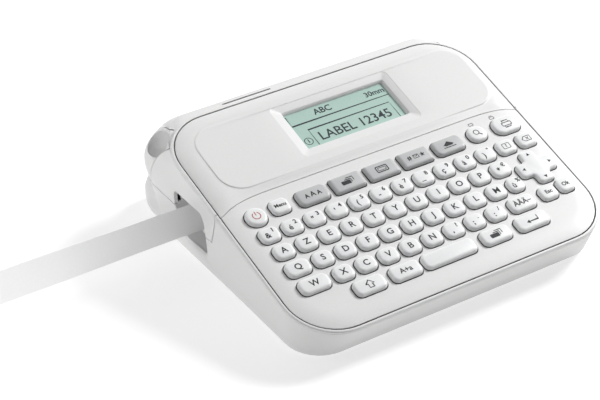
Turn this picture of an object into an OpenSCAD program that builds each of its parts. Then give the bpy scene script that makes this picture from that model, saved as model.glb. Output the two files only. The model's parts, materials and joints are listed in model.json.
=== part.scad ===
// Desktop label maker: tilted keyboard and display, side tape exit and a corner cutter lever.
// X runs left to right, Y front to back, Z up. The origin is the centre of the footprint on the
// surface that the feet stand on.

/* [Body] */
// Width over the rim
body_w = 188; // [184:0.5:192]
// Depth from the front rim to the rear bulge
body_d = 178; // [176:0.5:182]
// Depth of the tilted top, measured level
top_d = 148; // [146:0.5:150]
// Height of the rim at the front edge
rim_front_h = 19.2; // [18.5:0.1:21]
// Slope of the keyboard and display
panel_tilt = 16; // [15.5:0.1:16.5]
// Corner radius of the rim
rim_r = 27; // [25:0.5:29]
// Thickness of the moulded walls
wall = 2.2; // [2:0.1:2.4]
// How far the foot of each side wall stands inside the rim
side_inset = 3.3; // [3:0.1:4]
// How far the foot of the front wall stands inside the rim
front_inset = 9.2; // [8.5:0.1:10]
// Corner radius of the foot of the case
foot_r = 19; // [17:0.5:20]
// Height of the case bottom above the table
bottom_z = 1; // [0.8:0.1:1.2]

/* [Rear] */
// Height of the seam between base and rear case
seam_z = 25.5; // [25:0.1:26]
// Height of the ledge behind the display
ledge_z = 60.2; // [59.5:0.1:60.5]
// Depth position of the back of the ledge
ledge_y = 69; // [68:0.5:70]
// Depth position of the rear wall where it stands out most
belly_y = 84; // [83:0.5:84]
// Width of the rear bulge that holds the batteries
bulge_w = 176; // [175:0.5:178]
// Corner radius of the rear bulge
bulge_r = 20; // [19:0.5:20]

/* [Keys] */
// Spacing of the keys along a row
key_pitch = 13.22; // [13.1:0.02:13.3]
// Spacing of the letter rows along the slope
row_pitch = 11.9; // [11.8:0.05:12]
// Width of a letter key
key_w = 11; // [10.6:0.1:11.2]
// Depth of a letter key along the slope
key_d = 9.3; // [9:0.1:9.5]
// Corner radius of a key
key_r = 3.4; // [3:0.1:3.6]
// Height of the key tops above the rim plane
key_top = 3.3; // [3:0.1:3.5]

/* [Display] */
// Width of the display window
lcd_w = 62.6; // [61:0.1:64]
// Depth of the display window along the slope
lcd_d = 26; // [25:0.1:27]

/* [Tape] */
// Width of the label tape
tape_w = 18; // [17.5:0.1:18.5]
// Depth position of the tape
tape_y = 28; // [27.8:0.1:28.2]
// Length of tape standing out of the case
tape_out = 106; // [60:1:110]

/* [Hidden] */
$fn = 48;

case_white = [0.93, 0.93, 0.92];
key_white = [0.95, 0.95, 0.94];
key_grey = [0.62, 0.62, 0.63];
dark = [0.16, 0.16, 0.17];
metal = [0.75, 0.75, 0.76];
board_green = [0.12, 0.35, 0.22];

half_w = body_w / 2;
front_y = -body_d / 2;
rear_y = body_d / 2;
top_back_y = front_y + top_d;
slope = tan(panel_tilt);
// Height of the rim plane above the origin
rim_z0 = rim_front_h - front_y * slope;
rim_front_v = front_y / cos(panel_tilt);
rim_back_v = top_back_y / cos(panel_tilt);

lip = 1.5;            // width of the rim lip round the panels
panel_gap = 0.3;      // gap between lip and panels
edge_t = 2.2;         // thickness of the panels' edge
crown = 1.2;          // rise of the panels inside the rim
crown_in = 8;         // how far inside its edge a panel reaches that rise
plate_top = 2.4;      // height of the raised plate round the display
panel_under = -1;     // underside of both panels

key_hole = 0.35;      // clearance round a key
key_bottom = -2.6;
flange_top = -1.15;
flange_w = 0.55;
first_row_v = -25.9;
function_row_v = -12.4;
tape_z = 23.6;
tape_t = 0.2;
floor_top = bottom_z + wall;

lcd_x = 4;
lcd_v = 29.3;

// Height of a point of the rim plane, lifted by w along its normal
function rim_z(y, w = 0) = rim_z0 + y * slope + w / cos(panel_tilt);

// Puts children on the tilted plane of the rim, lifted by w
module on_panel(w = 0) {
  translate([0, 0, rim_z0]) rotate([panel_tilt, 0, 0]) translate([0, 0, w]) children();
}

// Rectangle with round corners, centred
module rounded(w, d, r) {
  if (w - 2 * r > 0.05) square([w - 2 * r, d], center = true);
  if (d - 2 * r > 0.05) square([w, d - 2 * r], center = true);
  for (sx = [-1, 1], sy = [-1, 1]) {
    translate([sx * (w / 2 - r), sy * (d / 2 - r)]) circle(r);
  }
}

// Level rounded slab between two depths
module slab(half, y0, y1, r, z, h = 0.1) {
  translate([0, (y0 + y1) / 2, z]) linear_extrude(h) rounded(2 * half, y1 - y0, r, $fn = 64);
}

// Block between two opposite corners
module block(low, high) {
  translate(low) cube(high - low);
}

// Outline of the rim in panel coordinates
module rim_outline(inset) {
  d = rim_back_v - rim_front_v;
  translate([0, (rim_back_v + rim_front_v) / 2])
    rounded(body_w - 2 * inset, d - 2 * inset, rim_r + 0.5 - inset, $fn = 64);
}

/* ---------- Case ---------- */

// Outer form of the main body, or its hollow when inset is the wall
module main_form(inset, rim_w = -0.1) {
  hull() {
    slab(half_w - side_inset - inset, front_y + front_inset + inset, 66 - inset, foot_r - inset,
         bottom_z + inset);
    slab(half_w - 1.8 - inset, front_y + 12 + inset, 80 - inset, 20 - inset, seam_z - 1);
    slab(half_w - 1.2 - inset, 0, belly_y - inset, 18 - inset, 38);
    slab(half_w - 6 - inset, 20, 76 - inset, 17 - inset, 52 - inset);
    slab(half_w - 16 - inset, 50, ledge_y - 3 - inset, 4, ledge_z - 0.1 - inset);
    on_panel(rim_w) linear_extrude(0.1) rim_outline(inset);
  }
}

// Outer form of the rear bulge, or its hollow
module bulge_form(inset) {
  half = bulge_w / 2 - inset;
  hull() {
    slab(half - 2, 34, rear_y - 2 - inset, bulge_r - 6 - inset, bottom_z + inset);
    slab(half, 34, rear_y - inset, bulge_r - inset, 6, 12);
    slab(half - 3, 34, rear_y - 5 - inset, bulge_r - 1 - inset, seam_z - 1.6 - inset);
  }
}

// Space that belongs to the rear case: everything behind the seam and above the base
module rear_zone(gap = 0) {
  translate([-100, 0, 0]) rotate([90, 0, 90]) linear_extrude(100)
    polygon([[-2.6 + gap, 90], [-2.6 + gap, 41.4], [3.9 + gap, 23.7 + gap], [10.2, 22.9 + gap],
             [12, seam_z + gap], [100, seam_z + gap], [100, 90]]);
  translate([-1, 0, 0]) rotate([90, 0, 90]) linear_extrude(101)
    polygon([[-2.6 + gap, 90], [-2.6 + gap, seam_z + gap], [100, seam_z + gap], [100, 90]]);
}

// Seat for the panels inside the lip
module panel_seat() {
  on_panel(-edge_t) linear_extrude(30) rim_outline(lip);
}

// Tape exit in the left wall
module tape_exit() {
  translate([-100, 0, 0]) rotate([90, 0, 90]) linear_extrude(12.5)
    polygon([[11.2, 12.9], [13, 11.3], [31.5, 10.4], [38.5, 20], [41.4, 26.2], [41.4, 32],
             [39.2, 35.2], [14.8, 35.6], [13.2, 34.3], [11.7, 31.5], [11.4, 22]]);
}

// Pivot of the cutter lever and the half length of its pin
pivot = [-81, 68.5, 30];
pin_half = 8.6;

// Turns children so that X runs along the pivot pin and Y points out of the corner
module at_pivot() {
  translate(pivot) rotate([0, 0, 45]) children();
}

// Window of the cutter lever, seen along the diagonal of the rear left corner
module lever_window(grow) {
  rotate([0, 0, 45]) translate([0, 120, 0]) rotate([90, 0, 0]) linear_extrude(75)
    difference() {
      polygon([[-36 - grow, 64], [-12 + grow, 64], [-5 + grow, 57 + grow], [8 + grow, 50],
               [8 + grow, 27 - grow], [-36 - grow, 27 - grow]]);
      translate([-74.3, -3.9]) circle(75 - grow, $fn = 96);
    }
}

// Places of the case screws: [x, y, belongs to the display panel]
screws = [[-80, -68, 0], [80, -68, 0], [-86.9, -16, 0], [83, 40, 1], [48, 44, 1]];
screw_split = 12.3;

module base_case() {
  color(case_white) difference() {
    union() {
      difference() {
        union() {
          main_form(0);
          bulge_form(0);
        }
        main_form(wall, 0.1);
        bulge_form(wall);
        panel_seat();
        rear_zone();
        tape_exit();
      }
      // Walls and roof of the battery bay
      block([-79.4, 52.6, 1.5], [79.4, 54.1, 21]);
      block([-79.4, 52.6, 19.6], [79.4, 80, 21]);
      for (sx = [-1, 1]) translate([sx * 78.6, 0, 0]) block([-0.7, 52.6, 1.5], [0.7, 80.5, 21]);
      for (s = screws) translate([s[0], s[1], 1.5]) cylinder(r = 3.3, h = screw_split - 1.6);
      // Brackets of the cutter lever's pin, on a shelf over the battery bay
      at_pivot() {
        block([-8, -14, -9.1], [8, 2.6, -7.1]);
        for (s = [-1, 1]) block([s * 6.2 - 1.1, -2.6, -9], [s * 6.2 + 1.1, 2.6, 3]);
      }
      // Posts of the main board
      for (x = [-52, 64], y = [-62, -14]) translate([x, y, 1.5]) cylinder(r = 2.5, h = 6.5);
      // Ears of the tape cover's hinge
      for (x = cover_hinge_x) block([x - 8, 1, 1], [x + 8, 4.7, 4.2]);
    }
    at_pivot() rotate([0, 90, 0]) cylinder(r = shaft_r, h = 2 * pin_half, center = true);
    // Openings of the tape bay and the battery bay
    block([-56.3, 4, 0], [34.3, 50.7, 4.5]);
    block([-77.8, 54.3, 0], [77.8, 84.6, 3.4]);
    for (x = cover_hinge_x) {
      block([x - 4.3, 1, 0], [x + 4.3, 5, 5]);
      translate([x - 7.5, 3, 2.6]) rotate([0, 90, 0]) cylinder(r = 0.75, h = 15);
    }
    for (s = screws) translate([s[0], s[1], 0]) {
      cylinder(r = 1.6, h = 20);
      cylinder(r = 2.8, h = 5);
    }
    // Openings of the power inlet and the data port
    translate([86, jack_y, jack_z]) rotate([0, 90, 0]) cylinder(r = 4, h = 12);
    block([86, usb_y - 5, usb_z - 2.2], [98, usb_y + 5, usb_z + 2.2]);
  }
}

module rear_case() {
  color(case_white) difference() {
    intersection() {
      difference() {
        main_form(0);
        main_form(wall, 0.1);
        panel_seat();
      }
      rear_zone(0.15);
    }
    tape_exit();
    // The lever's window stays below the rim lip
    difference() {
      lever_window(0.5);
      on_panel(-2.3) linear_extrude(30) square(400, center = true);
    }
    // Narrow slot in the ledge
    block([-49.5, 62.2, 50], [-20, 63.2, 70]);
  }
}

/* ---------- Top panels ---------- */

// Half of the top in front of the seam between the two panels, in panel coordinates
module front_half(gap) {
  polygon([[-100, -110], [100, -110], [100, -5.6 - gap], [93, -4.4 - gap], [84, -1 - gap],
           [70, 0.2 - gap], [-70, 0.2 - gap], [-84, -2 - gap], [-93, -5.8 - gap],
           [-100, -7 - gap]]);
}

// Thin crowned cover whose edge stands on the rim
module crowned_cover() {
  difference() {
    hull() {
      on_panel(-edge_t) linear_extrude(edge_t) rim_outline(lip + panel_gap);
      on_panel(0) linear_extrude(crown) rim_outline(lip + panel_gap + crown_in);
    }
    hull() {
      on_panel(-edge_t - 1) linear_extrude(1.2) rim_outline(lip + panel_gap + 1.6);
      on_panel(-edge_t) linear_extrude(edge_t + panel_under) rim_outline(lip + panel_gap + 2.6);
    }
  }
}

// Bosses under a panel, with holes for its screws
module panel_bosses(display) {
  for (s = screws) if (s[2] == display) translate([s[0], s[1], screw_split])
    cylinder(r = 3, h = rim_z(s[1], 0.1 + display) - screw_split);
}

module panel_screw_holes(display) {
  for (s = screws) if (s[2] == display) translate([s[0], s[1], 0]) cylinder(r = 1.25, h = 22.5);
}

module keyboard_panel() {
  color(case_white) difference() {
    union() {
      intersection() {
        crowned_cover();
        on_panel(-20) linear_extrude(40) front_half(0.1);
      }
      panel_bosses(0);
    }
    panel_screw_holes(0);
    on_panel(-6) linear_extrude(12) key_outlines(key_hole);
  }
}

// Outline of the raised plate round the display, in panel coordinates
module plate_outline(inset) {
  translate([2.7, 27.2]) rounded(168 - 2 * inset, 44.8 - 2 * inset, 13 - inset);
}

module display_panel() {
  color(case_white) difference() {
    union() {
      difference() {
        union() {
          difference() {
            crowned_cover();
            on_panel(-20) linear_extrude(40) front_half(-0.1);
          }
          on_panel(0) linear_extrude(plate_top) plate_outline(0);
        }
        // The raised plate is hollow outside the display
        on_panel(panel_under - 0.2) linear_extrude(1.6) difference() {
          plate_outline(2);
          translate([lcd_x, lcd_v]) rounded(74, 40, 3);
        }
      }
      panel_bosses(1);
    }
    panel_screw_holes(1);
    // Sloping bezel and the opening for the window
    hull() {
      on_panel(0.5) translate([lcd_x, lcd_v]) linear_extrude(0.1)
        rounded(lcd_w + 0.8, lcd_d + 0.8, 1.9);
      on_panel(plate_top + 0.1) translate([lcd_x - 1.5, lcd_v - 0.6]) linear_extrude(0.1)
        rounded(lcd_w + 8.4, lcd_d + 9.9, 3);
    }
    on_panel(-5) translate([lcd_x, lcd_v]) linear_extrude(8) rounded(lcd_w, lcd_d, 1.5);
  }
}

module lcd_window() {
  color([0.62, 0.75, 0.7]) on_panel(-0.8) translate([lcd_x, lcd_v])
    linear_extrude(1.2) rounded(lcd_w, lcd_d, 1.5);
}

module lcd_module() {
  color(metal) on_panel(-5) translate([lcd_x, lcd_v]) linear_extrude(4)
    difference() {
      rounded(72, 38, 1);
      for (sx = [-1, 1], sy = [-1, 1]) translate([sx * 33.5, sy * 16.5]) circle(1.2);
    }
  color(dark) on_panel(-1) translate([lcd_x, lcd_v]) linear_extrude(0.2)
    rounded(lcd_w - 1, lcd_d - 1, 1);
}

// Flat cable from the display down to the main board
module lcd_cable() {
  color([0.85, 0.7, 0.45]) union() {
    block([20, -2.2, 9.6], [36, -2, 42.6]);
    block([20, -6.4, 9.6], [36, -2, 9.8]);
    on_panel(-1.6) translate([20, -2.5]) linear_extrude(0.2) square([16, 12.8]);
  }
}

/* ---------- Underside ---------- */

cover_hinge_x = [-40, 18];

module tape_cover() {
  color(case_white) difference() {
    union() {
      block([-56, 5, 1], [34, 50.4, 2.8]);
      for (x = [-36, -10, 16]) block([x, 14, 2], [x + 1.5, 44, tape_z - 11.9]);
      for (x = cover_hinge_x) {
        translate([x - 4, 3, 2.6]) rotate([0, 90, 0]) cylinder(r = 1.5, h = 8);
        block([x - 4, 3, 1.1], [x + 4, 6, 2.6]);
      }
    }
    for (x = cover_hinge_x) translate([x - 6, 3, 2.6]) rotate([0, 90, 0])
      cylinder(r = 0.8, h = 12);
    // Finger grip ridges
    for (i = [0 : 4]) block([-22 + i * 3, 42, 0], [-20.5 + i * 3, 48, 1.4]);
  }
}

module cover_hinge_pins() {
  color(metal) for (x = cover_hinge_x) {
    translate([x - 7.5, 3, 2.6]) rotate([0, 90, 0]) cylinder(r = 0.75, h = 15);
  }
}

module battery_cover() {
  color(case_white) difference() {
    union() {
      block([-77.5, 54.9, 1], [77.5, 84.2, 2.8]);
      for (x = [-50, 0, 50]) block([x - 0.6, 58, 2], [x + 0.6, 81, 3.9]);
    }
    for (i = [0 : 4]) block([-7.5 + i * 3, 75, 0], [-6 + i * 3, 82, 1.4]);
  }
}

cell_r = 7.1;
cell_len = 50;
cell_rows = [62.2, 77];
cell_z = 11.4;

module battery_cells() {
  color([0.85, 0.6, 0.2]) for (y = cell_rows, i = [-1 : 1]) {
    translate([i * 50.4 - 24.6, y, cell_z]) rotate([0, 90, 0]) {
      cylinder(r = cell_r, h = cell_len - 1.2);
      translate([0, 0, cell_len - 1.2]) cylinder(r = 2.7, h = 1.2);
    }
  }
}

module battery_contacts() {
  color(metal) for (y = cell_rows, sx = [-1, 1]) {
    translate([sx * 76.9, y, cell_z]) rotate([0, 90, 0]) cylinder(r = 4.5, h = 0.6, center = true);
  }
}

module rubber_feet() {
  color(dark) for (p = [[-68, -62], [68, -62], [-72, 47], [72, 47]]) {
    translate([p[0], p[1], 0]) cylinder(r = 5, h = bottom_z);
  }
}

module case_screws() {
  color(metal) for (s = screws) translate([s[0], s[1], 3.2]) difference() {
    union() {
      cylinder(r = 2.6, h = 1.8);
      cylinder(r = 1.25, h = 18.8);
    }
    for (a = [0, 90]) rotate(a) cube([3, 0.6, 1.6], center = true);
  }
}

/* ---------- Print and feed unit ---------- */

roof_z = tape_z + 11.9;
roller_r = 4;
roller_x = -62;
roller_y = tape_y + tape_t / 2 + 0.15 + roller_r;
gear_m = 0.8;
pinion_n = 10;
idler_n = 24;
platen_n = 16;
gear_z = roof_z + 1.8;
mesh_gap = 0.15;
// Directions from the roller to the idler gear, and from there to the motor
idler_dir = 135;
motor_dir = 40;
idler_dist = gear_m * (platen_n + idler_n) / 2 + mesh_gap;
pinion_dist = gear_m * (pinion_n + idler_n) / 2 + mesh_gap;
idler_x = roller_x + idler_dist * cos(idler_dir);
idler_y = roller_y + idler_dist * sin(idler_dir);
motor_x = idler_x + pinion_dist * cos(motor_dir);
motor_y = idler_y + pinion_dist * sin(motor_dir);
shaft_r = 1.5;
bed_z = tape_z - 17.5; // underside of the roller's lower bearing plate

module chassis() {
  color([0.3, 0.31, 0.33]) difference() {
    union() {
      block([-88, 4.8, roof_z], [36, 52.4, roof_z + 1.4]);
      block([-50, 3, 4.2], [36, 4.5, roof_z + 1.4]);
      block([34.5, 3, 4.2], [36, 52.4, roof_z + 1.4]);
      block([-50, 51, 3.2], [36, 52.4, roof_z + 1.4]);
      // Shelf over the motor
      block([-72, 50, roof_z], [-54, 60, roof_z + 1.4]);
      // Lower bearing plate of the roller and its post
      block([-70, 24, bed_z], [-56.5, 50, bed_z + 1.5]);
      block([-70, 33, bed_z], [-68.5, 38, roof_z + 0.5]);
      // Guide wall of the cutter
      block([-76.5, 37, tape_z - 14], [-75, 52, roof_z + 0.5]);
      // Foot of the frame and the idler's axle
      block([-70, 40, floor_top], [-56.5, 41.5, bed_z + 0.5]);
      translate([idler_x, idler_y, roof_z]) cylinder(r = 1, h = 4.2);
    }
    translate([roller_x, roller_y, 4]) cylinder(r = shaft_r + 0.05, h = 40);
    translate([motor_x, motor_y, roof_z - 2]) cylinder(r = 2.6, h = 10);
    // Clearance for the front of the sloping display panel
    translate([0, 0, 0.6]) on_panel(-2.6) linear_extrude(30) square(400, center = true);
  }
}

cassette_z = roof_z - 23.4;

// Moulded cassette with a slot where the tape leaves
module tape_cassette() {
  color([0.78, 0.79, 0.8]) difference() {
    union() {
      difference() {
        translate([-9.5, 28.2, cassette_z]) linear_extrude(roof_z - cassette_z) rounded(83, 43.6, 4);
        translate([-9.5, 28.2, cassette_z + 1.2]) linear_extrude(roof_z - cassette_z - 2.4)
          rounded(80.6, 41.2, 3);
        block([-52, tape_y - 1.5, tape_z - 9.9], [-48, tape_y + 1.5, tape_z + 9.9]);
      }
      translate([-10, 29, cassette_z + 1]) cylinder(r = 3, h = roof_z - cassette_z - 2);
      translate([18, 20, cassette_z + 1]) cylinder(r = 2.4, h = roof_z - cassette_z - 2);
    }
  }
}

module label_tape() {
  color([0.93, 0.94, 0.94]) translate([-half_w - tape_out, tape_y - tape_t / 2, tape_z - tape_w / 2])
    cube([half_w + tape_out - 45, tape_t, tape_w]);
}

// Wound roll with a plain bore
module spool(x, y, r, bore) {
  translate([x, y, cassette_z + 2.2]) difference() {
    cylinder(r = r, h = 19);
    translate([0, 0, -1]) cylinder(r = bore, h = 22);
  }
}

module tape_spool() {
  color([0.9, 0.9, 0.9]) spool(-10, 29, 16.5, 3.06);
}

module ribbon_spool() {
  color(dark) spool(18, 20, 8, 2.46);
}

module platen_roller() {
  color(dark) translate([roller_x, roller_y, 0]) {
    translate([0, 0, tape_z - 10]) cylinder(r = roller_r, h = 20);
    translate([0, 0, bed_z - 1]) cylinder(r = shaft_r, h = gear_z + 4 - bed_z);
  }
}

// One gear tooth between the given radii, centred on +X
module tooth(n) {
  p = gear_m * PI;
  r = gear_m * n / 2;
  polygon([[r - 1.2 * gear_m, -0.27 * p], [r, -0.19 * p], [r + 0.75 * gear_m, -0.1 * p],
           [r + 0.75 * gear_m, 0.1 * p], [r, 0.19 * p], [r - 1.2 * gear_m, 0.27 * p]]);
}

// Spur gear with its first tooth turned to the given angle
module gear(n, turn, bore, h = 2) {
  difference() {
    linear_extrude(h) {
      circle(gear_m * n / 2 - 1.05 * gear_m);
      for (i = [0 : n - 1]) rotate(turn + i * 360 / n) tooth(n);
    }
    translate([0, 0, -1]) cylinder(r = bore, h = h + 2);
  }
}

module platen_gear() {
  color(key_white) translate([roller_x, roller_y, gear_z]) gear(platen_n, idler_dir, shaft_r);
}

// The idler's gap faces the platen gear's tooth
idler_turn = idler_dir + 180 + 180 / idler_n;

module idler_gear() {
  color(key_white) translate([idler_x, idler_y, gear_z]) gear(idler_n, idler_turn, 1.05);
}

// The pinion's gap faces the idler tooth that points at it; its shaft stub ends at the motor
module motor_pinion() {
  step = 360 / idler_n;
  off = (motor_dir - idler_turn) / step;
  miss = (off - round(off)) * step;
  color([0.8, 0.7, 0.4]) {
    translate([motor_x, motor_y, gear_z])
      gear(pinion_n, motor_dir + 180 + 180 / pinion_n + miss * idler_n / pinion_n, 0.75);
    translate([motor_x, motor_y, roof_z + 1.1]) cylinder(r = 0.75, h = 3);
  }
}

module feed_motor() {
  color(metal) {
    translate([motor_x, motor_y, 21.6]) cylinder(r = 6.8, h = roof_z - 21.6);
    translate([motor_x, motor_y, roof_z - 1]) cylinder(r = 2.5, h = 2);
  }
}

module print_head() {
  color([0.5, 0.5, 0.52]) {
    block([-66.5, tape_y - 4.4, tape_z - 12.5], [-57.5, tape_y - 1.6, roof_z]);
    block([-63.5, tape_y - 1.6, tape_z - 10.5], [-60.5, tape_y - tape_t / 2 - 0.1, tape_z + 10.5]);
  }
}

/* ---------- Cutter ---------- */

module cutter_lever() {
  color(case_white) difference() {
    union() {
      difference() {
        intersection() {
          main_form(0);
          lever_window(0);
        }
        main_form(4.4, 0.1);
        on_panel(-2.75) linear_extrude(30) square(400, center = true);
        // Thumb recess
        translate([-93.5, 71, 51]) sphere(r = 13);
      }
      // Hub and two arms
      at_pivot() {
        for (x = [-4.5, 0.6]) block([x, -1, -1.2], [x + 2, 5.8, 2.6]);
        translate([-4.5, 0, 0]) rotate([0, 90, 0]) cylinder(r = 3, h = 7.1);
      }
    }
    at_pivot() rotate([0, 90, 0]) cylinder(r = shaft_r + 0.05, h = 14, center = true);
  }
}

module lever_pin() {
  color(metal) at_pivot() rotate([0, 90, 0]) cylinder(r = shaft_r, h = 2 * pin_half, center = true);
}

// Turns of the return spring round the pin, beside the lever's hub
module lever_spring() {
  color(metal) for (i = [0 : 2]) at_pivot() translate([3.2 + i * 0.7, 0, 0]) rotate([0, 90, 0])
    rotate_extrude() translate([2.1, 0]) circle(0.27, $fn = 24);
}

module cutter_blade() {
  color([0.3, 0.31, 0.33]) block([-80.7, tape_y + 7.8, tape_z - 11], [-76.9, 52, tape_z + 10.5]);
  color(metal) block([-79.1, tape_y + 5.3, tape_z - 10.5], [-78.5, tape_y + 8.8, tape_z + 10.5]);
}

module fixed_blade() {
  color(metal) block([-80.3, tape_y - 1, tape_z - 10.5], [-79.7, tape_y - 0.2, roof_z]);
  color([0.3, 0.31, 0.33]) block([-80.5, tape_y - 8.5, tape_z - 13.5], [-76.9, tape_y - 1, roof_z]);
}

/* ---------- Electronics ---------- */

jack_y = -38;
jack_z = 14.2;
usb_y = -22;
usb_z = 12;

module main_board() {
  color(board_green) {
    block([-60, -67, 8], [74, -4.6, 9.6]);
    block([73, -46, 8], [84, -16, 9.6]);
  }
  color(dark) {
    block([-20, -50, 9.6], [-4, -34, 11]);
    block([14, -56, 9.6], [30, -46, 10.8]);
    block([19.5, -8.4, 9.8], [36.5, -5, 11.4]);
  }
}

module keypad_board() {
  color(board_green) on_panel(-6.6) linear_extrude(1.4) difference() {
    translate([0, -43.8]) rounded(172, 72, 6);
    board_cuts(0);
  }
}

// Room for the case screws' bosses, in panel coordinates
module board_cuts(grow) {
  for (s = screws) if (s[2] == 0) {
    translate([s[0], s[1] / cos(panel_tilt) - 1.7]) circle(5.4 + grow);
  }
}

module keypad_membrane() {
  color([0.75, 0.76, 0.77]) {
    on_panel(-5.2) linear_extrude(0.7) difference() {
      translate([0, -43.8]) rounded(172, 72, 6);
      board_cuts(0);
    }
    // Domes, drawn as low as a pressed key leaves them
    on_panel(-4.5) linear_extrude(0.6) difference() {
      intersection() {
        key_outlines(-1.6);
        translate([0, -43.8]) rounded(172, 72, 6);
      }
      board_cuts(0);
    }
  }
}

module power_jack() {
  color(dark) {
    difference() {
      block([78, jack_y - 5, 9.6], [88.7, jack_y + 5, 18.8]);
      translate([80, jack_y, jack_z]) rotate([0, 90, 0]) cylinder(r = 2.9, h = 12);
    }
    translate([79, jack_y, jack_z]) rotate([0, 90, 0]) cylinder(r = 0.9, h = 9);
  }
}

module usb_port() {
  color(metal) difference() {
    block([80, usb_y - 4.5, 9.6], [88.7, usb_y + 4.5, usb_z + 1.8]);
    block([81, usb_y - 3.8, usb_z - 1.1], [92, usb_y + 3.8, usb_z + 1.1]);
  }
  color(dark) block([80.5, usb_y - 3, usb_z - 0.3], [88, usb_y + 3, usb_z + 0.3]);
}

/* ---------- Keys ---------- */

// Single keys: [name, x, v, width, depth, corner radius]
KEYS = [
  ["key_power", -76.9, -13.2, 11.4, 11.4, 5.7],
  ["key_menu", -62.4, -12, 10.6, 9.4, 3.4],
  ["key_text", -43.4, function_row_v, 18, 10.2, 3.4],
  ["key_label_type", -22.4, function_row_v, 18, 10.2, 1.6],
  ["key_frame", -1.4, function_row_v, 18, 10.2, 1.6],
  ["key_symbol", 19.6, function_row_v, 18, 10.2, 1.6],
  ["key_template", 40.6, function_row_v, 18, 10.2, 3.4],
  ["key_search", 59.8, -11.8, 11, 10.2, 4.9],
  ["key_print", 78.3, -12.4, 16.4, 11.4, 5.4],
  ["key_help", -77 + 11 * key_pitch, first_row_v, key_w, key_d, key_r],
  ["key_backspace", -77 + 12 * key_pitch, first_row_v, key_w, key_d, key_r],
  ["key_esc", 69.7, -61.4, 10.4, 9, key_r],
  ["key_ok", 81.3, -60.6, 9.4, 9, key_r],
  ["key_accent", 52.4, first_row_v - 3 * row_pitch, 15.6, key_d, key_r],
  ["key_shift", -49.2, first_row_v - 4 * row_pitch, 17.6, key_d, key_r],
  ["key_caps", -28.1, first_row_v - 4 * row_pitch, 17.6, key_d, key_r],
  ["key_space", -1.8, first_row_v - 4 * row_pitch, 31.6, key_d, key_r],
  ["key_label", 27.1, first_row_v - 4 * row_pitch, 17.6, key_d, key_r],
  ["key_enter", 50, first_row_v - 4 * row_pitch, 19.6, key_d, key_r]];
nav_x = 75.1;
nav_v = -43.9;
nav_w = 23;
nav_d = 22;
nav_arm = 9.4;

// Outline of the keys of one letter row, grown by g
module row_outline(row, g) {
  v = first_row_v - row * row_pitch;
  if (row == 0) for (i = [0 : 10]) key_outline(-77 + i * key_pitch, v, key_w, key_d, key_r, g);
  if (row == 1) for (i = [0 : 10]) key_outline(-76.1 + i * key_pitch, v, key_w, key_d, key_r, g);
  if (row == 2) {
    key_outline(-75.4, v, 13.6, key_d, key_r, g);
    for (i = [0 : 8]) key_outline(-61 + i * key_pitch, v, key_w, key_d, key_r, g);
    key_outline(57.1, v, 9.4, key_d, key_r, g);
  }
  if (row == 3) {
    key_outline(-73.5, v, 17, key_d, key_r, g);
    for (i = [0 : 7]) key_outline(-56.7 + i * key_pitch, v, key_w, key_d, key_r, g);
  }
}

module key_outline(x, v, w, d, r, g) {
  translate([x, v]) rounded(w + 2 * g, d + 2 * g, max(r + g, 0.8));
}

module nav_outline(g) {
  translate([nav_x, nav_v]) {
    rounded(nav_w + 2 * g, nav_arm + 2 * g, 3 + g);
    rounded(nav_arm + 2 * g, nav_d + 2 * g, 3 + g);
  }
}

// Outlines of all keys
module key_outlines(g) {
  for (k = KEYS) key_outline(k[1], k[2], k[3], k[4], k[5], g);
  for (row = [0 : 3]) row_outline(row, g);
  nav_outline(g);
}

// Key cap made from an outline: flange under the panel, shank and a slightly smaller top
module cap_from_outline() {
  on_panel(key_bottom) linear_extrude(flange_top - key_bottom) outline_of($kind, flange_w);
  on_panel(key_bottom) linear_extrude(key_top - 0.6 - key_bottom) outline_of($kind, 0);
  on_panel(key_bottom) linear_extrude(key_top - key_bottom) outline_of($kind, -0.4);
}

// Outline of the nav pad, of letter row n, or of the single key named
module outline_of(kind, g) {
  if (kind == "nav_pad") nav_outline(g);
  for (row = [0 : 3]) if (kind == row) row_outline(row, g);
  for (k = KEYS) if (kind == k[0]) key_outline(k[1], k[2], k[3], k[4], k[5], g);
}

module cap(kind, shade) {
  $kind = kind;
  color(shade) cap_from_outline();
}

base_case();
rear_case();
keyboard_panel();
display_panel();
lcd_window();
lcd_module();
lcd_cable();
tape_cover();
cover_hinge_pins();
battery_cover();
battery_cells();
battery_contacts();
rubber_feet();
case_screws();
chassis();
tape_cassette();
label_tape();
tape_spool();
ribbon_spool();
platen_roller();
platen_gear();
print_head();
feed_motor();
motor_pinion();
idler_gear();
cutter_lever();
lever_pin();
lever_spring();
cutter_blade();
fixed_blade();
main_board();
keypad_board();
keypad_membrane();
power_jack();
usb_port();
cap("key_power", key_white);  // key_power
cap("key_menu", key_white);  // key_menu
cap("key_text", key_grey);  // key_text
cap("key_label_type", key_grey);  // key_label_type
cap("key_frame", key_grey);  // key_frame
cap("key_symbol", key_grey);  // key_symbol
cap("key_template", key_grey);  // key_template
cap("key_search", key_white);  // key_search
cap("key_print", key_white);  // key_print
cap("key_help", key_white);  // key_help
cap("key_backspace", key_white);  // key_backspace
cap("nav_pad", key_white);  // nav_pad
cap("key_esc", key_white);  // key_esc
cap("key_ok", key_white);  // key_ok
cap("key_accent", key_white);  // key_accent
cap("key_shift", key_white);  // key_shift
cap("key_caps", key_white);  // key_caps
cap("key_space", key_white);  // key_space
cap("key_label", key_white);  // key_label
cap("key_enter", key_white);  // key_enter
cap(0, key_white);  // digit_keys
cap(1, key_white);  // upper_letter_keys
cap(2, key_white);  // home_letter_keys
cap(3, key_white);  // lower_letter_keys
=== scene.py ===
import math

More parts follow.
